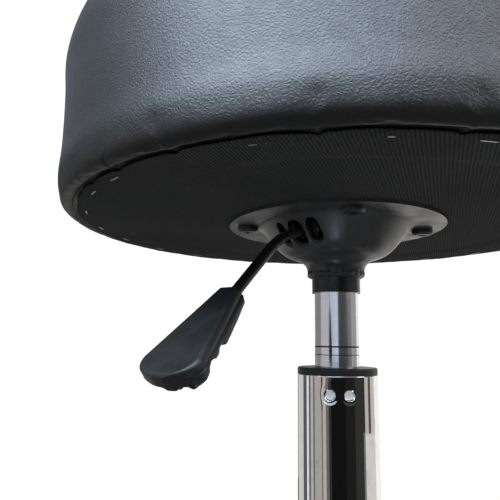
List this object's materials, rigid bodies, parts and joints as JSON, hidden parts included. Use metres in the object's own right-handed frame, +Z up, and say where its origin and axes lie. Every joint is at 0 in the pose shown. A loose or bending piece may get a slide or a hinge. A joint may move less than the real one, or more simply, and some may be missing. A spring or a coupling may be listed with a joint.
{
  "type": "rolling stylist stool",
  "caption": "Round padded leather stool seat on a chrome gas lift with a paddle height lever, on a five-star base with twin-wheel casters.",
  "frame": {"origin": "on the column's axis at floor level, under the middle of the seat", "axes": "+Z up along the column, -Y towards the first base leg, +X to the right seen from that leg's side"},
  "size_m": [0.454, 0.4484, 0.494],
  "materials": {
    "leather": "slate grey-blue synthetic leather with a fine pebble grain, soft sheen",
    "foam": "open-cell polyurethane foam",
    "plywood": "raw plywood",
    "dust_cloth": "black ribbed non-woven cloth",
    "staple_wire": "bright galvanised wire",
    "zinc": "bright zinc plate",
    "plate_paint": "dark grey satin enamel",
    "black_paint": "black semi-gloss enamel",
    "piston_steel": "ground and polished steel",
    "chrome": "bright chrome plate",
    "black_plastic": "black nylon with a fine satin texture",
    "inner_steel": "turned steel",
    "brass": "turned brass",
    "rubber": "black rubber"
  },
  "bodies": {
    "base": {"column_tube": "chrome", "column_bushing": "black_plastic", "column_end_disc": "inner_steel", "thrust_race_lower": "inner_steel", "thrust_balls": "inner_steel", "thrust_cage": "brass", "base_hub": "chrome", "base_leg_1": "chrome", "base_leg_2": "chrome", "base_leg_3": "chrome", "base_leg_4": "chrome", "base_leg_5": "chrome", "leg_sockets": "inner_steel", "caster_stems": "zinc", "stem_grip_rings": "inner_steel"},
    "gas_rod": {"piston_rod": "inner_steel", "piston": "black_plastic", "rod_clip": "inner_steel", "thrust_race_upper": "inner_steel", "bump_stop": "rubber"},
    "seat": {"seat_cover": "leather", "seat_foam": "foam", "seat_board": "plywood", "tee_nuts": "zinc", "dust_cover": "dust_cloth", "dust_cover_staples": "staple_wire", "cover_staples": "staple_wire", "mount_plate": "plate_paint", "mount_screws": "zinc", "taper_socket": "black_paint", "lever_bracket": "zinc", "lever_pivot_pin": "inner_steel", "gas_cylinder": "piston_steel", "rod_guide": "inner_steel", "rod_seal": "rubber", "pressure_tube": "inner_steel", "valve_body": "brass"},
    "lever": {"lever_rod": "black_paint", "lever_handle": "black_plastic"},
    "release_pin": {"release_pin": "inner_steel"},
    "caster_1": {"caster_1_hood": "black_plastic", "caster_1_axle": "inner_steel"},
    "wheel_1_left": {"caster_1_wheel_left": "black_plastic"},
    "wheel_1_right": {"caster_1_wheel_right": "black_plastic"},
    "caster_2": {"caster_2_hood": "black_plastic", "caster_2_axle": "inner_steel"},
    "wheel_2_left": {"caster_2_wheel_left": "black_plastic"},
    "wheel_2_right": {"caster_2_wheel_right": "black_plastic"},
    "caster_3": {"caster_3_hood": "black_plastic", "caster_3_axle": "inner_steel"},
    "wheel_3_left": {"caster_3_wheel_left": "black_plastic"},
    "wheel_3_right": {"caster_3_wheel_right": "black_plastic"},
    "caster_4": {"caster_4_hood": "black_plastic", "caster_4_axle": "inner_steel"},
    "wheel_4_left": {"caster_4_wheel_left": "black_plastic"},
    "wheel_4_right": {"caster_4_wheel_right": "black_plastic"},
    "caster_5": {"caster_5_hood": "black_plastic", "caster_5_axle": "inner_steel"},
    "wheel_5_left": {"caster_5_wheel_left": "black_plastic"},
    "wheel_5_right": {"caster_5_wheel_right": "black_plastic"}
  },
  "joints": [
    {"name": "seat_swivel", "type": "hinge", "parent": "base", "child": "gas_rod", "pos_m": [0, 0, 0.0705], "axis": [0, 0, 1], "continuous": true},
    {"name": "seat_lift", "type": "slide", "parent": "gas_rod", "child": "seat", "axis": [0, 0, 1], "range_m": [0, 0.14]},
    {"name": "lever_lift", "type": "hinge", "parent": "seat", "child": "lever", "pos_m": [-0.017, -0.02829, 0.36767], "axis": [-0.8572, 0.515, 0], "range_deg": [0, 5.5], "stiffness_Nm_per_rad": 0.4, "springref_deg": -5.73},
    {"name": "release_pin_travel", "type": "slide", "parent": "seat", "child": "release_pin", "axis": [0, 0, -1], "range_m": [0, 0.0032]},
    {"name": "caster_1_swivel", "type": "hinge", "parent": "base", "child": "caster_1", "pos_m": [0, -0.215, 0.05], "axis": [0, 0, 1], "continuous": true},
    {"name": "wheel_1_left_spin", "type": "hinge", "parent": "caster_1", "child": "wheel_1_left", "pos_m": [0, -0.193, 0.025], "axis": [1, 0, 0], "continuous": true},
    {"name": "wheel_1_right_spin", "type": "hinge", "parent": "caster_1", "child": "wheel_1_right", "pos_m": [0, -0.193, 0.025], "axis": [1, 0, 0], "continuous": true},
    {"name": "caster_2_swivel", "type": "hinge", "parent": "base", "child": "caster_2", "pos_m": [0.20448, -0.06644, 0.05], "axis": [0, 0, 1], "continuous": true},
    {"name": "wheel_2_left_spin", "type": "hinge", "parent": "caster_2", "child": "wheel_2_left", "pos_m": [0.20448, -0.04444, 0.025], "axis": [1, 0, 0], "continuous": true},
    {"name": "wheel_2_right_spin", "type": "hinge", "parent": "caster_2", "child": "wheel_2_right", "pos_m": [0.20448, -0.04444, 0.025], "axis": [1, 0, 0], "continuous": true},
    {"name": "caster_3_swivel", "type": "hinge", "parent": "base", "child": "caster_3", "pos_m": [0.12637, 0.17394, 0.05], "axis": [0, 0, 1], "continuous": true},
    {"name": "wheel_3_left_spin", "type": "hinge", "parent": "caster_3", "child": "wheel_3_left", "pos_m": [0.12637, 0.19594, 0.025], "axis": [1, 0, 0], "continuous": true},
    {"name": "wheel_3_right_spin", "type": "hinge", "parent": "caster_3", "child": "wheel_3_right", "pos_m": [0.12637, 0.19594, 0.025], "axis": [1, 0, 0], "continuous": true},
    {"name": "caster_4_swivel", "type": "hinge", "parent": "base", "child": "caster_4", "pos_m": [-0.12637, 0.17394, 0.05], "axis": [0, 0, 1], "continuous": true},
    {"name": "wheel_4_left_spin", "type": "hinge", "parent": "caster_4", "child": "wheel_4_left", "pos_m": [-0.12637, 0.19594, 0.025], "axis": [1, 0, 0], "continuous": true},
    {"name": "wheel_4_right_spin", "type": "hinge", "parent": "caster_4", "child": "wheel_4_right", "pos_m": [-0.12637, 0.19594, 0.025], "axis": [1, 0, 0], "continuous": true},
    {"name": "caster_5_swivel", "type": "hinge", "parent": "base", "child": "caster_5", "pos_m": [-0.20448, -0.06644, 0.05], "axis": [0, 0, 1], "continuous": true},
    {"name": "wheel_5_left_spin", "type": "hinge", "parent": "caster_5", "child": "wheel_5_left", "pos_m": [-0.20448, -0.04444, 0.025], "axis": [1, 0, 0], "continuous": true},
    {"name": "wheel_5_right_spin", "type": "hinge", "parent": "caster_5", "child": "wheel_5_right", "pos_m": [-0.20448, -0.04444, 0.025], "axis": [1, 0, 0], "continuous": true}
  ],
  "couplings": [
    {"joint": "release_pin_travel", "follows": "lever_lift", "m_per_rad": 0.033}
  ]
}
